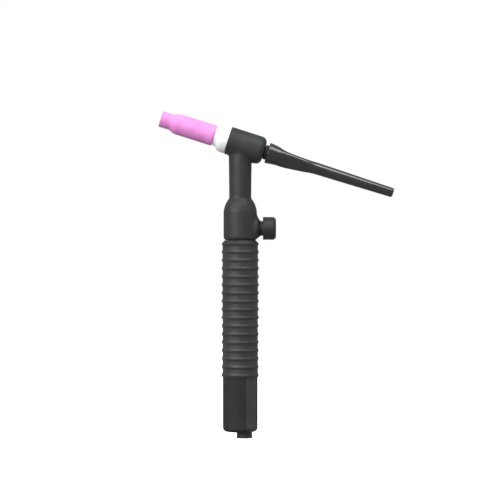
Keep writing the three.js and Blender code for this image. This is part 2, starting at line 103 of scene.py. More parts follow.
ON_AXIS = 0.02
IN_PLANE_DEGREES = 0.5
SHARP_TURN = math.radians(55)
SIDE_SHARE = 0.48
SUPPORT, SUPPORT_SHARE = 0.15, 0.01


def cad_outline(node, place, degrees=90):
    """The node's own outline in one half plane through its axis, as (radius, height) corners in order."""
    mesh = frame["nodes"][node].data
    to_place = place.inverted()
    ids, corner_of, welded = {}, {}, []
    for vertex in mesh.vertices:
        point = (to_place @ vertex.co) / MM
        radius = math.hypot(point.x, point.y)
        key = ids.setdefault(tuple(round(c, 2) for c in point), len(ids))
        welded.append(key)
        off = (math.degrees(math.atan2(point.y, point.x)) - degrees + 180) % 360 - 180
        if radius < ON_AXIS or abs(off) < IN_PLANE_DEGREES:
            corner_of[key] = (radius if radius > ON_AXIS else 0.0, point.z)
    links = {key: set() for key in corner_of}
    for edge in mesh.edges:
        a, b = (welded[i] for i in edge.vertices)
        if a != b and a in links and b in links:
            links[a].add(b)
            links[b].add(a)
    return [corner_of[key] for key in walked(links, corner_of)]


def walked(links, corner_of):
    """The linked corners in order: from the lower end of a line, or round a loop from its inside."""
    ends = sorted((corner_of[key][1], key) for key in links if len(links[key]) == 1)
    start = ends[0][1] if ends else min(links, key=lambda key: corner_of[key])
    order, seen = [start], {start}
    while True:
        onward = sorted(key for key in links[order[-1]] if key not in seen)
        if not onward:
            return order
        order.append(onward[0])
        seen.add(onward[0])


def is_loop(outline):
    return outline[0][0] > 0 or outline[-1][0] > 0


def softened(outline, edge=0.3, blend=3.0, steps=5):
    """Rounds each corner: a sharp one by the edge size, and a shallow one by up to the blend size.

    A rounding takes only its share of each side, and a point just past each of its ends keeps
    the shading of the sides flat.
    """
    points = [np.array(p, float) for p in outline]
    loop = is_loop(outline)
    result = []
    for i, corner in enumerate(points):
        if not loop and i in (0, len(points) - 1):
            result.append(corner)
            continue
        before, after = points[i - 1] - corner, points[(i + 1) % len(points)] - corner
        reach_in, reach_out = np.linalg.norm(before), np.linalg.norm(after)
        turn = math.pi - math.acos(np.clip(before @ after / (reach_in * reach_out), -1, 1))
        limit = edge if turn > SHARP_TURN else blend
        cut = min(limit, SIDE_SHARE * reach_in, SIDE_SHARE * reach_out)
        start, end = corner + before / reach_in * cut, corner + after / reach_out * cut
        support = min(SUPPORT, SUPPORT_SHARE * min(reach_in, reach_out))
        result.append(start + before / reach_in * support)
        result.extend(curve(start, corner, end, steps))
        result.append(end + after / reach_out * support)
    return result


def curve(start, bend, end, steps):
    """Points along the quadratic curve that leaves its start and meets its end towards the bend."""
    return [(1 - t) ** 2 * start + 2 * t * (1 - t) * bend + t * t * end for t in np.linspace(0, 1, steps)]


def divided(outline, low, high, step):
    """Adds points to the outline's stretches between two heights, for a thread or flat to follow."""
    loop = is_loop(outline)
    result = []
    for i, point in enumerate(outline):
        result.append(point)
        if i + 1 == len(outline) and not loop:
            break
        following = outline[(i + 1) % len(outline)]
        inside = low <= (point[1] + following[1]) / 2 <= high
        count = int(abs(following[1] - point[1]) / step) if inside else 0
        for k in range(1, count):
            result.append(point + (following - point) * k / count)
    return result


# ---------------------------------------------------------------- meshes

TIP = 1e-6
THREAD_FADE = 0.6
STEPS_PER_PITCH = 8


def new_piece(name, points, faces, place, body, slot, material, *nodes):
    """A mesh piece from points in millimetres, riding on its body and standing for its CAD nodes."""
    mesh = bpy.data.meshes.new(name)
    matrix = np.array(place)
    metres = np.asarray(points, float) * MM @ matrix[:3, :3].T + matrix[:3, 3]
    mesh.from_pydata(metres.tolist(), [], faces)
    mesh.validate()
    mesh.polygons.foreach_set("use_smooth", [True] * len(mesh.polygons))
    piece = bpy.data.objects.new(name, mesh)
    bpy.context.scene.collection.objects.link(piece)
    mesh.materials.append(material)
    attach(piece, body)
    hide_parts(*nodes)
    return piece


def outward(points, faces):
    """The faces, turned round if the closed surface would be inside out."""
    points = np.asarray(points)
    volume = 0.0
    for face in faces:
        for k in range(1, len(face) - 1):
            a, b, c = points[face[0]], points[face[k]], points[face[k + 1]]
            volume += a @ np.cross(b, c)
    return faces if volume > 0 else [tuple(reversed(face)) for face in faces]


def angles_round(sides):
    return np.arange(sides) * FULL_TURN / sides


def add_ring(points, rings, angles, radii, heights, centre=0.0):
    """Adds a ring of points about Z, or only its middle where its radius is nothing."""
    if np.max(radii) < TIP:
        rings.append([len(points)])
        points.append((centre, 0.0, float(np.mean(heights))))
        return
    across = centre + radii * np.cos(angles)
    rings.append(list(range(len(points), len(points) + len(angles))))
    points.extend(zip(across, radii * np.sin(angles), np.broadcast_to(heights, angles.shape)))


def faces_between(rings, loop):
    """Faces from each ring to the next, and from the last to the first on a loop."""
    faces = []
    pairs = list(zip(rings, rings[1:])) + ([(rings[-1], rings[0])] if loop else [])
    for low, high in pairs:
        sides = max(len(low), len(high))
        for k in range(sides):
            nxt = (k + 1) % sides
            if len(low) == 1:
                faces.append((low[0], high[nxt], high[k]))
            elif len(high) == 1:
                faces.append((low[k], low[nxt], high[0]))
            else:
                faces.append((low[k], low[nxt], high[nxt], high[k]))
    return faces


def spun_mesh(outline, sides=112, radius_at=None):
    """Points and faces of an outline turned about Z. radius_at(radius, height, angles) may reshape it."""
    angles = angles_round(sides)
    points, rings = [], []
    for radius, height in outline:
        radii = radius if radius_at is None or radius < TIP else radius_at(radius, height, angles)
        add_ring(points, rings, angles, radii, height)
    return points, outward(points, faces_between(rings, is_loop(outline)))


def spun(name, node, place, body, slot, material, degrees=90, edge=0.3, blend=3.0, sides=112, thread=None):
    """A fine turned piece with the outline of its CAD node."""
    outline = softened(cad_outline(node, place, degrees), edge, blend)
    if thread:
        outline = divided(outline, thread["low"], thread["high"], thread["pitch"] / STEPS_PER_PITCH)
    points, faces = spun_mesh(outline, sides, threaded(thread) if thread else None)
    return new_piece(name, points, faces, place, body, slot, material, node)


def threaded(thread):
    """A right-hand thread cut into the surface whose radius is at least the thread's own."""
    low, high = thread["low"], thread["high"]

    def radius_at(radius, height, angles):
        if radius < thread["radius"] or not low <= height <= high:
            return np.full(len(angles), radius)
        turns = height / thread["pitch"] - angles / FULL_TURN
        fade = min(1.0, (height - low) / THREAD_FADE, (high - height) / THREAD_FADE)
        return radius - thread["depth"] * fade * (0.5 - 0.5 * np.cos(FULL_TURN * turns))
    return radius_at


def torus(name, node, place, body, slot, material, squash=1.0, shift=0.0):
    """A fine ring of the size of the CAD node's ring, or one squashed wider between two faces."""
    outline = np.array(cad_outline(node, place))
    middle = outline.mean(axis=0)
    section = np.linalg.norm(outline - middle, axis=1).max()
    fullness = 1 / squash
    ring = []
    for turn in angles_round(40):
        out, along = (math.copysign(abs(c) ** fullness, c) for c in (math.cos(turn), math.sin(turn)))
        ring.append(middle + (0, shift) + section * np.array((out, squash * along)))
    points, faces = spun_mesh(ring)
    return new_piece(name, points, faces, place, body, slot, material, node)


# ---------------------------------------------------------------- handle sizes

GAP = 0.3
SEAM = 0.08
FLAT_ANGLE = math.radians(-45)
FLAT_DISTANCE = 13.0
GRIP_LOW, GRIP_HIGH = (corner.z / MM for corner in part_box("grip_sleeve"))
HANDLE_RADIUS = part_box("handle_tube")[1].y / MM
BUSH_LOW, BUSH_HIGH = (corner.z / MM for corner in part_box("end_bush"))
FLAT_LOW = BUSH_LOW + 1.5
FLAT_HIGH = GRIP_LOW + 8
FLAT_RUN_OUT = 6.0
FLAT_SOFTNESS = 0.25


# ---------------------------------------------------------------- materials

NOISE_LOW, NOISE_HIGH = 0.3, 0.7
MOTTLE_SCALE = 90
GLOSS_SCALE = 240
GRAIN_SCALE = 2600
PATCH_SCALE = 160
TOOL_LINE_SCALE = 5200


def shader(name, color, roughness, **inputs):
    material = bpy.data.materials.new(name)
    material.use_nodes = True
    bsdf = principled(material)
    bsdf.inputs["Base Color"].default_value = (*color, 1)
    bsdf.inputs["Roughness"].default_value = roughness
    for key, value in inputs.items():
        bsdf.inputs[key.replace("_", " ")].default_value = value
    return material


def principled(material):
    return material.node_tree.nodes["Principled BSDF"]


def node_of(material, kind, **settings):
    node = material.node_tree.nodes.new(kind)
    for key, value in settings.items():
        setattr(node, key, value)
    return node


def link(material, source, target):
    material.node_tree.links.new(source, target)


def noise(material, scale, detail=4.0):
    """Noise over the object's own coordinates; scale counts cells per metre."""
    coordinates = node_of(material, "ShaderNodeTexCoord")
    texture = node_of(material, "ShaderNodeTexNoise")
    texture.inputs["Scale"].default_value = scale
    texture.inputs["Detail"].default_value = detail
    link(material, coordinates.outputs["Object"], texture.inputs["Vector"])
    return texture.outputs["Fac"]


def distance_along(material, direction):
    """How far a point lies along a direction from the torch's origin, in metres."""
    coordinates = node_of(material, "ShaderNodeTexCoord")
    distance = node_of(material, "ShaderNodeVectorMath", operation="DOT_PRODUCT")
    distance.inputs[1].default_value = direction
    link(material, coordinates.outputs["Object"], distance.inputs[0])
    return distance.outputs["Value"]


def ramp(material, factor, low, high, start=0.35, end=0.65):
    """Two colours blended over the middle of the factor's range."""
    node = node_of(material, "ShaderNodeValToRGB")
    node.color_ramp.elements[0].position = start
    node.color_ramp.elements[1].position = end
    node.color_ramp.elements[0].color = (*low, 1)
    node.color_ramp.elements[1].color = (*high, 1)
    link(material, factor, node.inputs["Fac"])
    return node.outputs["Color"]


def spread(material, factor, low, high, start=NOISE_LOW, end=NOISE_HIGH):
    """The factor's range turned into the range from low to high."""
    node = node_of(material, "ShaderNodeMapRange")
    for name, value in (("From Min", start), ("From Max", end), ("To Min", low), ("To Max", high)):
        node.inputs[name].default_value = value
    link(material, factor, node.inputs["Value"])
    return node.outputs["Result"]


def bump(material, height, depth):
    """Adds a bump to whatever bump the shader already has."""
    normal = principled(material).inputs["Normal"]
    node = node_of(material, "ShaderNodeBump")
    node.inputs["Distance"].default_value = depth
    node.inputs["Strength"].default_value = 1.0
    link(material, height, node.inputs["Height"])
    if normal.is_linked:
        link(material, normal.links[0].from_socket, node.inputs["Normal"])
    link(material, node.outputs["Normal"], normal)


def moulded(name, dark, light, roughness, grain_depth, **inputs):
    """Moulded rubber or plastic: a slight mottle, uneven gloss and a fine grain."""
    material = shader(name, dark, roughness, **inputs)
    bsdf = principled(material)
    link(material, ramp(material, noise(material, MOTTLE_SCALE, 5), dark, light), bsdf.inputs["Base Color"])
    gloss = noise(material, GLOSS_SCALE, 3)
    link(material, spread(material, gloss, roughness - 0.05, roughness + 0.06), bsdf.inputs["Roughness"])
    bump(material, noise(material, GRAIN_SCALE, 3), grain_depth)
    return material


def machined(name, color, tarnish, roughness, axis):
    """Turned metal: fine tool lines round its axis, and patches of tarnish."""
    material = shader(name, color, roughness, Metallic=1.0)
    bsdf = principled(material)
    link(material, ramp(material, noise(material, PATCH_SCALE, 6), tarnish, color), bsdf.inputs["Base Color"])
    gloss = noise(material, 700, 3)
    link(material, spread(material, gloss, roughness - 0.08, roughness + 0.1), bsdf.inputs["Roughness"])
    lines = node_of(material, "ShaderNodeTexNoise", noise_dimensions="1D")
    lines.inputs["Scale"].default_value = TOOL_LINE_SCALE
    link(material, distance_along(material, Vector(axis).normalized()), lines.inputs["W"])
    bump(material, lines.outputs["Fac"], 0.00002)
    return material


def alumina():
    """Pink fired alumina: slightly translucent, with fine grain and faint darker flecks."""
    pale, deep = (0.84, 0.315, 0.735), (0.76, 0.225, 0.61)
    material = shader("pink_alumina", pale, 0.42, Subsurface_Weight=0.25, Subsurface_Scale=0.002)
    bsdf = principled(material)
    bsdf.inputs["Subsurface Radius"].default_value = (1.0, 0.5, 0.8)
    link(material, ramp(material, noise(material, 120, 6), deep, pale, 0.25, 0.6), bsdf.inputs["Base Color"])
    link(material, spread(material, noise(material, 900, 4), 0.36, 0.5), bsdf.inputs["Roughness"])
    bump(material, noise(material, 3800, 2), 0.00002)
    bump(material, noise(material, 420, 3), 0.00004)
    return material


def ptfe():
    """White PTFE: waxy and faintly clouded."""
    white, whiter = (0.90, 0.93, 0.92), (0.96, 0.97, 0.965)
    material = shader("white_ptfe", white, 0.38, Subsurface_Weight=0.2, Subsurface_Scale=0.002)
    bsdf = principled(material)
    link(material, ramp(material, noise(material, 150, 3), white, whiter), bsdf.inputs["Base Color"])
    link(material, spread(material, noise(material, 800, 3), 0.33, 0.45), bsdf.inputs["Roughness"])
    bump(material, noise(material, 1800, 2), 0.000015)
    return material


def handle_plastic():
    """Matt moulded plastic, which is smoother and glossier on the long flat."""
    material = moulded("handle_plastic", (0.027, 0.0275, 0.027), (0.034, 0.0345, 0.034), 0.6, 0.00003)
    towards_flat = (math.cos(FLAT_ANGLE), math.sin(FLAT_ANGLE), 0)
    start, end = (FLAT_DISTANCE - 0.06) * MM, (FLAT_DISTANCE - 0.03) * MM
    on_flat = spread(material, distance_along(material, towards_flat), 0, 1, start, end)
    roughness, specular = (principled(material).inputs[name] for name in ("Roughness", "Specular IOR Level"))
    changing(material, roughness, on_flat, roughness.links[0].from_socket, 0.3)
    changing(material, specular, on_flat, 0.1, 0.5)
    return material


def changing(material, socket, factor, first, second):
    """Sets the socket to go from the first value, or source, to the second value with the factor."""
    blend = node_of(material, "ShaderNodeMix")
    if isinstance(first, bpy.types.NodeSocket):
        link(material, first, blend.inputs["A"])
    else:
        blend.inputs["A"].default_value = first
    blend.inputs["B"].default_value = second
    link(material, factor, blend.inputs["Factor"])
    link(material, blend.outputs["Result"], socket)


SHELL_RUBBER = moulded("moulded_shell_rubber", (0.020, 0.0215, 0.021), (0.026, 0.028, 0.0275), 0.53, 0.00004)
GRIP_RUBBER = moulded("grip_rubber", (0.027, 0.029, 0.0285), (0.036, 0.039, 0.038), 0.48, 0.00006)
# The boot's rubber is the overmould rubber painted lighter: a painted fill that makes up for the shade under
# the handle's overhang.
BOOT_RUBBER_PAINTED_FILL = moulded("boot_rubber_painted_fill", (0.034, 0.035, 0.034), (0.042, 0.043, 0.042), 0.5, 0.00004)
SEAL_RUBBER = moulded("seal_rubber", (0.011, 0.011, 0.011), (0.017, 0.017, 0.017), 0.33, 0.00001)
HANDLE_PLASTIC = handle_plastic()
KNOB_PLASTIC = moulded("knob_plastic", (0.016, 0.017, 0.017), (0.022, 0.023, 0.023), 0.48, 0.00002)
CAP_PLASTIC = moulded("cap_plastic", (0.012, 0.0125, 0.0125), (0.016, 0.0165, 0.0165), 0.23, 0.000003,
                      Specular_IOR_Level=0.9)
ALUMINA = alumina()
PTFE = ptfe()
TUNGSTEN = machined("ground_tungsten", (0.42, 0.42, 0.44), (0.27, 0.27, 0.29), 0.42, HEAD_AXIS)
BRASS_HEAD = machined("brass_head", (0.78, 0.56, 0.24), (0.62, 0.42, 0.17), 0.32, HEAD_AXIS)
BRASS_VALVE = machined("brass_valve", (0.78, 0.56, 0.24), (0.62, 0.42, 0.17), 0.3, (1, 0, 0))
BRASS_CABLE = machined("brass_cable", (0.78, 0.56, 0.24), (0.6, 0.4, 0.16), 0.3, (0, 0, 1))
COPPER_PIPE = machined("copper_pipe", (0.83, 0.42, 0.26), (0.6, 0.29, 0.18), 0.34, (0, 0, 1))
COPPER_HEAD = machined("copper_chuck", (0.84, 0.45, 0.28), (0.66, 0.32, 0.19), 0.3, HEAD_AXIS)


# ---------------------------------------------------------------- handle

SPIGOT_RADIUS = 10.0
BUSH_FILLET = 3.4


def with_flat(radius, height, angles):
    """The long flat on the front right, which runs out in a round end at its top and bottom."""
    past = max(FLAT_LOW + FLAT_RUN_OUT - height, height - FLAT_HIGH + FLAT_RUN_OUT, 0.0)
    if past >= FLAT_RUN_OUT or radius < FLAT_DISTANCE - 1:
        return np.full(len(angles), radius)
    rise = 0.5 - 0.5 * math.cos(math.pi * past / FLAT_RUN_OUT)
    distance = FLAT_DISTANCE + (HANDLE_RADIUS - FLAT_DISTANCE) * rise
    plane = distance / np.maximum(np.cos(angles - FLAT_ANGLE), 0.05)
    return joined(plane, radius, FLAT_SOFTNESS)


def joined(a, b, fillet):
    """The smaller of two distances, blended where they are nearly the same."""
    near = np.maximum(fillet - np.abs(a - b), 0) / fillet
    return np.minimum(a, b) - near * near * fillet / 4


def lowered(outline, height):
    """The outline with its end at one height moved down, to close the CAD's running gap to a seam."""
    drop = GAP - SEAM
    return [(r, h - drop if abs(h - height) < 0.01 else h) for r, h in outline]


def grip_sleeve():
    outline = softened(lowered(cad_outline("grip_sleeve", HANDLE), GRIP_LOW), edge=0.3, blend=0.75)
    points, faces = spun_mesh(outline, sides=144)
    new_piece("ribbed_grip", points, faces, HANDLE, "torch", "grip_rubber", GRIP_RUBBER, "grip_sleeve")


def handle_tube():
    outline = lowered(cad_outline("handle_tube", HANDLE, 180), low_z("handle_tube"))
    outline = divided(softened(outline, edge=0.12), BUSH_LOW, GRIP_LOW, 0.5)
    points, faces = spun_mesh(outline, 192, with_flat)
    new_piece("handle", points, faces, HANDLE, "torch", "handle_plastic", HANDLE_PLASTIC, "handle_tube")


def bush_skin():
    """The bush's outside from its spigot down, as (radius, height) rings about the handle's axis."""
    ledge = low_z("handle_tube") - GAP
    bevel = 0.12
    skin = [(SPIGOT_RADIUS, BUSH_HIGH), (SPIGOT_RADIUS, ledge + 0.2), (SPIGOT_RADIUS, ledge)]
    skin += [(HANDLE_RADIUS - bevel, ledge), (HANDLE_RADIUS, ledge - bevel)]
    skin += [(HANDLE_RADIUS, height) for height in np.arange(ledge - 0.7, BUSH_LOW + BUSH_FILLET, -0.35)]
    for turn in np.linspace(0, math.pi / 2, 12):
        inset, drop = BUSH_FILLET * (1 - math.cos(turn)), BUSH_FILLET * math.sin(turn)
        skin.append((HANDLE_RADIUS - inset, BUSH_LOW + BUSH_FILLET - drop))
    return skin


def bush_hole():
    """The stepped hole for the boot, from the bush's lower face up, as rings about the boot's axis."""
    step = low_z("cable_boot") + 8.3
    wide, narrow = 7.0, 5.7
    hole = [(wide + 0.25, BUSH_LOW), (wide + 0.05, BUSH_LOW + 0.08), (wide, BUSH_LOW + 0.3), (wide, step)]
    hole += [(narrow + 0.1, step), (narrow, step + 0.1), (narrow, BUSH_HIGH - 0.1), (narrow + 0.1, BUSH_HIGH)]
    return hole


def end_bush():
    """The rounded bush, with its off-centre hole for the boot."""
    angles = angles_round(192)
    points, rings = [], []
    for radius, height in bush_skin():
        add_ring(points, rings, angles, with_flat(radius, height, angles), height)
    for radius, height in bush_hole():
        add_ring(points, rings, angles, radius, height, CABLE.translation.x / MM)
    faces = outward(points, faces_between(rings, loop=True))
    new_piece("handle_end_bush", points, faces, HANDLE, "torch", "handle_plastic", HANDLE_PLASTIC, "end_bush")


def cable_connection():
    spun("cable_boot_fine", "cable_boot", CABLE, "torch", "overmould_rubber", BOOT_RUBBER_PAINTED_FILL,
         edge=0.35, blend=0.6)
    spun("power_adapter_fine", "power_adapter", CABLE, "torch", "brass", BRASS_CABLE)
    spun("rear_pipe_fine", "rear_pipe", CABLE, "torch", "copper", COPPER_PIPE, edge=0.2, sides=96)
    spun("pipe_sleeving_fine", "pipe_sleeving", CABLE, "torch", "overmould_rubber", BOOT_RUBBER_PAINTED_FILL, sides=96)


# ---------------------------------------------------------------- moulded torch body

COLLAR_FOOT = GRIP_HIGH + GAP
COLLAR_RADIUS = 13.95
NECK_RADIUS = 9.2
HEAD_RADIUS = 11.75
HEAD_FRONT, HEAD_REAR = 10.45, -20.9
HEAD_REAR_FILLET = 5.0
BOSS_RADIUS, BOSS_NOSE_RADIUS = 9.9, 6.15
BOSS_FILLET, UNDER_BOSS_FILLET, HEAD_FILLET, HOLLOW_FILLET = 2.6, 1.0, 1.4, 0.5
SKIN_STEP, QUICK_SKIN_STEP = 0.45, 0.8
PROBE = 0.02
LONGEST_MOVE = 0.3


def distance_to_outline(outline, radius, height):
    """Signed distance to a turned solid's outline, which is a list of corners from axis to axis."""
    inside = np.zeros(radius.shape, bool)
    nearest = np.full(radius.shape, np.inf)
    corners = np.array(outline, float)
    for (r0, h0), (r1, h1) in zip(corners, corners[1:]):
        run = np.array((r1 - r0, h1 - h0))
        t = np.clip(((radius - r0) * run[0] + (height - h0) * run[1]) / (run @ run), 0, 1)
        nearest = np.minimum(nearest, (radius - r0 - t * run[0]) ** 2 + (height - h0 - t * run[1]) ** 2)
        if h0 != h1:
            crosses = (h0 > height) != (h1 > height)
            inside ^= crosses & (radius < r0 + (height - h0) * (r1 - r0) / (h1 - h0))
    return np.where(inside, -1, 1) * np.sqrt(nearest)


def minus(a, b, fillet):
    return -joined(-a, b, fillet)


def in_place(place, points):
    """Radius and height of points about a place's axis, all in millimetres."""
    matrix = np.array(place.inverted())
    local = points @ matrix[:3, :3].T + matrix[:3, 3] / MM
    return np.hypot(local[:, 0], local[:, 1]), local[:, 2]


def raised(outline, lift):
    return [(radius, height + lift) for radius, height in outline]


def rod_outline(radius, low, high):
    return [(0, low), (radius, low), (radius, high), (0, high)]


def collar_outline():
    """The spigot in the grip, the collar's rounded foot on the grip's rim, and the collar's side."""
    low = low_z("torch_shell")
    rim = GRIP_HIGH + SEAM
    spigot = [(0, low), (SPIGOT_RADIUS - 0.3, low), (SPIGOT_RADIUS, low + 0.3), (SPIGOT_RADIUS, rim)]
    foot = [(13.1, 0.2), (13.65, 1.1), (13.88, 2.1), (COLLAR_RADIUS, 3.2)]
    return spigot + [(12.7, rim)] + raised(foot, COLLAR_FOOT)


def neck_outline():
    """The bottle shoulder, from the collar up, and the neck up to the head's axis."""
    top = HEAD.translation.z / MM
    collar_top, shoulder_top = COLLAR_FOOT + 23.4, COLLAR_FOOT + 34.3
    start, end = np.array((COLLAR_RADIUS, collar_top)), np.array((9.6, shoulder_top))
    bend = np.array((COLLAR_RADIUS - 0.7, collar_top + 6.3))
    shoulder = [tuple(point) for point in curve(start, bend, end, 14)]
    neck = raised([(9.3, 0.9), (NECK_RADIUS, 2.4)], shoulder_top)
    return shoulder + neck + [(NECK_RADIUS + 0.02, top - 40), (NECK_RADIUS + 0.5, top), (0, top)]


def barrel_outline():
    """The head's barrel, from its well rounded rear to its front rim."""
    flat_radius = HEAD_RADIUS - HEAD_REAR_FILLET
    barrel = [(0, HEAD_REAR)]
    for turn in np.linspace(0, math.pi / 2, 12):
        out, back = HEAD_REAR_FILLET * math.sin(turn), HEAD_REAR_FILLET * math.cos(turn)
        barrel.append((flat_radius + out, HEAD_REAR + HEAD_REAR_FILLET - back))
    rim = [(HEAD_RADIUS, -0.35), (HEAD_RADIUS - 0.1, -0.07), (HEAD_RADIUS - 0.35, 0), (0, 0)]
    return barrel + raised(rim, HEAD_FRONT)


def boss_outline():
    """The valve's boss, which narrows to the nose that the knob faces."""
    boss = [(0, 0), (BOSS_RADIUS, 0), (BOSS_RADIUS, 13.9)]
    nose = [(6.3, 16.9), (BOSS_NOSE_RADIUS, 17.4), (BOSS_NOSE_RADIUS, 19.3), (6.05, 19.5)]
    return boss + nose + [(5.85, 19.6), (0, 19.6)]


def under_boss_outline():
    """The ring cut away below the boss, so that it rises from the seam and clears the grip."""
    slope = [(12.9, -3), (12.9, 0), (13.5, 0.5), (14.3, 1.2), (15.3, 1.9), (16.2, 2.4), (24, 2.4), (24, -3)]
    return raised(slope + slope[:1], COLLAR_FOOT)


def hollow_outlines(about_handle, about_head, about_valve):
    """The room for the pieces inside, each with the coordinates that it is measured in."""
    low, valve, head = low_z("torch_shell"), VALVE.translation.z / MM, HEAD.translation.z / MM
    return (
        (rod_outline(8.8, -19.8, 12), about_head),
        (rod_outline(5.6, -23, -19), about_head),
        (rod_outline(4.8, valve + 14, head), about_handle),
        (rod_outline(8.8, low - 2, valve + 15.3), about_handle),
        (rod_outline(4.3, 4, 21), about_valve),
    )


def torch_body_distance(points):
    """Signed distance, in millimetres, to the moulded body of head, neck, collar and valve boss."""
    about_handle, about_head, about_valve = (in_place(place, points) for place in (HANDLE, HEAD, VALVE))
    solid = distance_to_outline(collar_outline() + neck_outline(), *about_handle)
    solid = joined(solid, distance_to_outline(boss_outline(), *about_valve), BOSS_FILLET)
    solid = minus(solid, distance_to_outline(under_boss_outline(), *about_handle), UNDER_BOSS_FILLET)
    solid = joined(solid, distance_to_outline(barrel_outline(), *about_head), HEAD_FILLET)
    for outline, where in hollow_outlines(about_handle, about_head, about_valve):
        solid = minus(solid, distance_to_outline(outline, *where), HOLLOW_FILLET)
    return solid


def slope_at(points):
    """How the torch body's distance changes along X, Y and Z."""
    slopes = []
    for axis in range(3):
        shift = np.zeros(3)
        shift[axis] = PROBE
        change = torch_body_distance(points + shift) - torch_body_distance(points - shift)
        slopes.append(change / (2 * PROBE))
    return np.stack(slopes, -1)


def torch_shell():
    """The moulded body as one smooth skin, drawn on a grid and then moved onto the exact surface."""
    step = SKIN_STEP
    low, high = (np.array(corner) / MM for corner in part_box("torch_shell"))
    low, high = low - 2 * step, high + 2 * step
    counts = np.ceil((high - low) / step).astype(int) + 1
    axes = [low[i] + step * np.arange(counts[i]) for i in range(3)]
    grid_points = np.stack(np.meshgrid(*axes, indexing="ij"), -1).reshape(-1, 3)
    grid = openvdb.FloatGrid(5.0)
    grid.copyFromArray(torch_body_distance(grid_points).reshape(counts).astype(np.float32))
    points, faces = grid.convertToQuads(isovalue=0.0)
    points = low + np.asarray(points, float) * step
    for _ in range(4):
        distance, slope = torch_body_distance(points), slope_at(points)
        length = np.maximum(np.linalg.norm(slope, axis=1), 0.5)
        points -= np.clip(distance / length ** 2, -LONGEST_MOVE, LONGEST_MOVE)[:, None] * slope
    faces = outward(points, [tuple(int(i) for i in face) for face in faces])
    new_piece("moulded_torch_body", points, faces, HANDLE, "torch", "overmould_rubber", SHELL_RUBBER,
              "torch_shell")


# ---------------------------------------------------------------- valve

KNOB_LOW, KNOB_HIGH = (corner.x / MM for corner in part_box("valve_knob"))
KNOB_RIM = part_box("valve_knob")[1].y / MM
KNOB_HOLE, KNOB_RECESS = 2.0, 6.45
KNOB_DIMPLES = 10
DIMPLED_RADIUS = 9
DIMPLE_DEPTH = 0.1
DIMPLE_HALF_LENGTH = 3.5
DIMPLE_HALF_WIDTH = 2.5
DIMPLE_OFFSET = -0.6


def knob_radius(radius, height, angles):
    """Shallow oval dimples round the knob, between plain rims."""
    if radius < DIMPLED_RADIUS:
        return np.full(len(angles), radius)
    pitch = FULL_TURN / KNOB_DIMPLES
    across = ((angles + pitch / 2) % pitch - pitch / 2) * radius / DIMPLE_HALF_WIDTH
    along = (height - (KNOB_LOW + KNOB_HIGH) / 2 - DIMPLE_OFFSET) / DIMPLE_HALF_LENGTH
    inside = np.maximum(1 - across ** 2 - along ** 2, 0)
    return radius - DIMPLE_DEPTH * inside ** 1.4


def knob_outline():
    """From the end of the stem's hole, out over the recess, skirt and rim to the slightly hollow face."""
    low, high, rim, hole, recess = KNOB_LOW, KNOB_HIGH, KNOB_RIM, KNOB_HOLE, KNOB_RECESS
    hole_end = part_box("valve_stem")[1].x / MM + GAP
    recess_end = low + 0.9
    inner = [(0, hole_end), (hole, hole_end), (hole, recess_end), (recess, recess_end)]
    inner += [(recess, low + 0.1), (recess + 0.1, low)]
    skirt = [(rim - 0.4, low), (rim - 0.12, low + 0.12), (rim, low + 0.4)]
    rows = [(rim, low + 0.4 + k * 0.25) for k in range(1, 31)]
    crown = [(rim, high - 2.5), (rim - 0.12, high - 1.95), (rim - 0.7, high - 1.05), (rim - 1.4, high - 0.3)]
    face = [(rim - 1.8, high - 0.06), (rim - 2.4, high), (rim - 3.4, high), (rim - 3.8, high - 0.3)]
    return inner + skirt + rows + crown + face + [(0, high - 0.45)]


def valve():
    points, faces = spun_mesh(knob_outline(), 240, knob_radius)
    new_piece("gas_valve_knob", points, faces, VALVE, "valve_spindle", "handle_plastic", KNOB_PLASTIC,
              "valve_knob")
    spun("valve_stem_fine", "valve_stem", VALVE, "valve_spindle", "brass", BRASS_VALVE,
         edge=0.12, blend=0.3, sides=64)
    spun("valve_gland_nut_fine", "valve_gland_nut", VALVE, "torch", "brass", BRASS_VALVE, edge=0.2, sides=72)
    torus("valve_packing_ring", "valve_stem_o_ring", VALVE, "valve_packing", "seal_rubber", SEAL_RUBBER)


# ---------------------------------------------------------------- head

CUP_THREAD = {"low": 22, "high": 35.5, "pitch": 1.5, "depth": 0.35, "radius": 6.1}
CAP_THREAD = {"low": -18.5, "high": -6.2, "pitch": 1.25, "depth": 0.4, "radius": 4.8}
CAP_LOBES = 3
CAP_NOSE_FOOT = -19
CAP_NOSE_LEAST_RADIUS = 4
CAP_STEP, CAP_THREAD_STEP = 2, 0.16


def head_parts():
    spun("ceramic_cup_fine", "ceramic_cup", HEAD, "cup", "pink_alumina", ALUMINA,
         edge=0.45, blend=2.6, sides=128)
    spun("cup_gasket_fine", "cup_gasket", HEAD, "gasket", "ptfe", PTFE, edge=0.35, blend=2.2, sides=128)
    spun("collet_body_fine", "collet_body", HEAD, "collet_holder", "copper", COPPER_HEAD,
         degrees=45, edge=0.25, blend=0.6, thread=CUP_THREAD)
    spun("tungsten_electrode_fine", "tungsten_electrode", HEAD, "electrode", "tungsten", TUNGSTEN,
         edge=0.05, blend=0.4, sides=48)
    torus("back_cap_o_ring_fine", "back_cap_o_ring", HEAD, "cap_seal", "seal_rubber", SEAL_RUBBER,
          squash=1.24, shift=-0.2)


def cap_outlines():
    """The cap's outlines along a crest and along a valley, point by point, with rows for its thread."""
    crest, valley = (softened(cad_outline("back_cap", HEAD, degrees), edge=0.35, blend=4.0, steps=7)
                     for degrees in (180, 0))
    result = []
    for i, (top, bottom) in enumerate(zip(crest, valley)):
        result.append((top, bottom))
        if i + 1 == len(crest):
            break
        top_run, bottom_run = crest[i + 1] - top, valley[i + 1] - bottom
        on_nose = top[1] > CAP_NOSE_FOOT and top[0] > CAP_NOSE_LEAST_RADIUS
        step = CAP_THREAD_STEP if on_nose else CAP_STEP
        count = max(1, int(abs(top_run[1]) / step))
        for k in range(1, count):
            result.append((top + top_run * k / count, bottom + bottom_run * k / count))
    return result


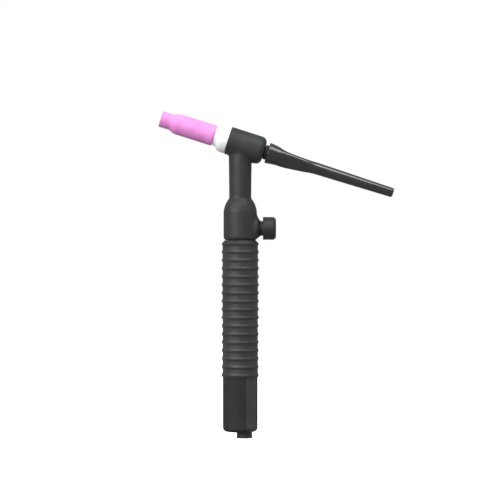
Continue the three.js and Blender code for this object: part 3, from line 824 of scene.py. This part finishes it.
def back_cap():
    """The long cap, whose three lobes swing between its two outlines."""
    angles = angles_round(144)
    swing = 0.5 - 0.5 * np.cos(CAP_LOBES * angles)
    cut_thread = threaded(CAP_THREAD)
    points, rings = [], []
    for crest, valley in cap_outlines():
        radii = valley[0] + (crest[0] - valley[0]) * swing
        heights = valley[1] + (crest[1] - valley[1]) * swing
        depth = crest[0] - cut_thread(crest[0], crest[1], angles)
        add_ring(points, rings, angles, radii - depth, heights)
    faces = outward(points, faces_between(rings, loop=False))
    new_piece("long_back_cap", points, faces, HEAD, "cap", "cap_plastic", CAP_PLASTIC, "back_cap")


def carried_over():
    """CAD nodes that stay: sealed inner pieces whose shape is right."""
    finishes = {
        "head_core": BRASS_HEAD,
        "valve_body": BRASS_CABLE,
        "neck_pipe": COPPER_PIPE,
        "collet": COPPER_HEAD,
    }
    for node, material in finishes.items():
        piece = frame["nodes"][node]
        piece.data.materials.clear()
        piece.data.materials.append(material)


# ---------------------------------------------------------------- stage, all in metres

VIEW_DISTANCE = 1.8
VIEW_HEIGHT = 0.0573
VIEW_WIDTH = 0.4008
VIEW_SHIFT = -0.0002
SENSOR_WIDTH = 36
FLOOR_DROP = 0.12
FLOOR_HALF = 6.0


def camera():
    data = bpy.data.cameras.new("camera")
    data.sensor_width = SENSOR_WIDTH
    data.lens = SENSOR_WIDTH * VIEW_DISTANCE / VIEW_WIDTH
    data.clip_end = 50
    holder = bpy.data.objects.new("camera", data)
    holder.location = (VIEW_SHIFT, -VIEW_DISTANCE, VIEW_HEIGHT)
    holder.rotation_euler = (math.pi / 2, 0, 0)
    bpy.context.scene.collection.objects.link(holder)
    bpy.context.scene.camera = holder


def soft_light(name, azimuth_degrees, elevation_degrees, distance, width, height, power):
    """A soft rectangular light aimed at the middle of the torch."""
    data = bpy.data.lights.new(name, "AREA")
    data.shape = "RECTANGLE"
    data.energy = power
    data.size = width
    data.size_y = height
    light = bpy.data.objects.new(name, data)
    azimuth, elevation = math.radians(azimuth_degrees), math.radians(elevation_degrees)
    away = Vector((math.sin(azimuth) * math.cos(elevation), -math.cos(azimuth) * math.cos(elevation),
                   math.sin(elevation)))
    light.location = Vector((0, 0, VIEW_HEIGHT)) + away * distance
    light.rotation_euler = away.to_track_quat("Z", "Y").to_euler()
    bpy.context.scene.collection.objects.link(light)


def pale_floor():
    """A plain pale floor below the torch, which throws no light on it."""
    height = CAD_BOUNDS[0][2] - FLOOR_DROP
    corners = [(x * FLOOR_HALF, y * FLOOR_HALF, height) for x, y in ((-1, -1), (1, -1), (1, 1), (-1, 1))]
    mesh = bpy.data.meshes.new("floor")
    mesh.from_pydata(corners, [], [(0, 1, 2, 3)])
    piece = bpy.data.objects.new("floor", mesh)
    bpy.context.scene.collection.objects.link(piece)
    material = shader("pale_floor", (0.9, 0.9, 0.9), 0.9)
    bsdf = principled(material)
    shades = ramp(material, noise(material, 2, 2), (0.89, 0.89, 0.89), (0.93, 0.93, 0.93))
    link(material, shades, bsdf.inputs["Base Color"])
    bsdf.inputs["Emission Color"].default_value = (1, 1, 1, 1)
    bsdf.inputs["Emission Strength"].default_value = 0.95
    mesh.materials.append(material)
    piece.visible_diffuse = False
    piece.visible_glossy = False


def surroundings():
    """White to the camera, dim in reflections, and brighter above than below to everything else."""
    world = bpy.data.worlds.new("surroundings")
    bpy.context.scene.world = world
    world.use_nodes = True
    nodes, links = world.node_tree.nodes, world.node_tree.links
    nodes.clear()
    path, output = nodes.new("ShaderNodeLightPath"), nodes.new("ShaderNodeOutputWorld")
    seen, around, reflected = (nodes.new("ShaderNodeBackground") for _ in range(3))
    for background, strength in ((seen, 1.0), (around, 1.0), (reflected, 0.36)):
        background.inputs["Color"].default_value = (1, 1, 1, 1)
        background.inputs["Strength"].default_value = strength
    direction, split = nodes.new("ShaderNodeTexCoord"), nodes.new("ShaderNodeSeparateXYZ")
    brighter_above = nodes.new("ShaderNodeMapRange")
    for name, value in (("From Min", -0.8), ("From Max", 0.8), ("To Min", 0.12), ("To Max", 0.95)):
        brighter_above.inputs[name].default_value = value
    links.new(direction.outputs["Generated"], split.inputs[0])
    links.new(split.outputs["Z"], brighter_above.inputs["Value"])
    links.new(brighter_above.outputs["Result"], around.inputs["Strength"])
    bounce, view = nodes.new("ShaderNodeMixShader"), nodes.new("ShaderNodeMixShader")
    links.new(path.outputs["Is Glossy Ray"], bounce.inputs["Fac"])
    links.new(around.outputs[0], bounce.inputs[1])
    links.new(reflected.outputs[0], bounce.inputs[2])
    links.new(path.outputs["Is Camera Ray"], view.inputs["Fac"])
    links.new(bounce.outputs[0], view.inputs[1])
    links.new(seen.outputs[0], view.inputs[2])
    links.new(view.outputs[0], output.inputs["Surface"])


def stage():
    camera()
    pale_floor()
    surroundings()
    soft_light("wide_left", -38, 23, 1.3, 1.1, 1.0, 13)
    soft_light("overhead", 46, 57, 0.6, 0.24, 0.2, 0.85)
    soft_light("front_top", -12, 50, 1.3, 0.7, 0.35, 1.0)
    soft_light("ceiling", 0, 84, 1.5, 1.6, 1.2, 3)
    soft_light("right_fill", 88, 5, 1.5, 0.6, 0.9, 0.75)
    bpy.context.scene.view_settings.view_transform = "Standard"


stage()
grip_sleeve()
handle_tube()
end_bush()
cable_connection()
torch_shell()
valve()
head_parts()
back_cap()
carried_over()
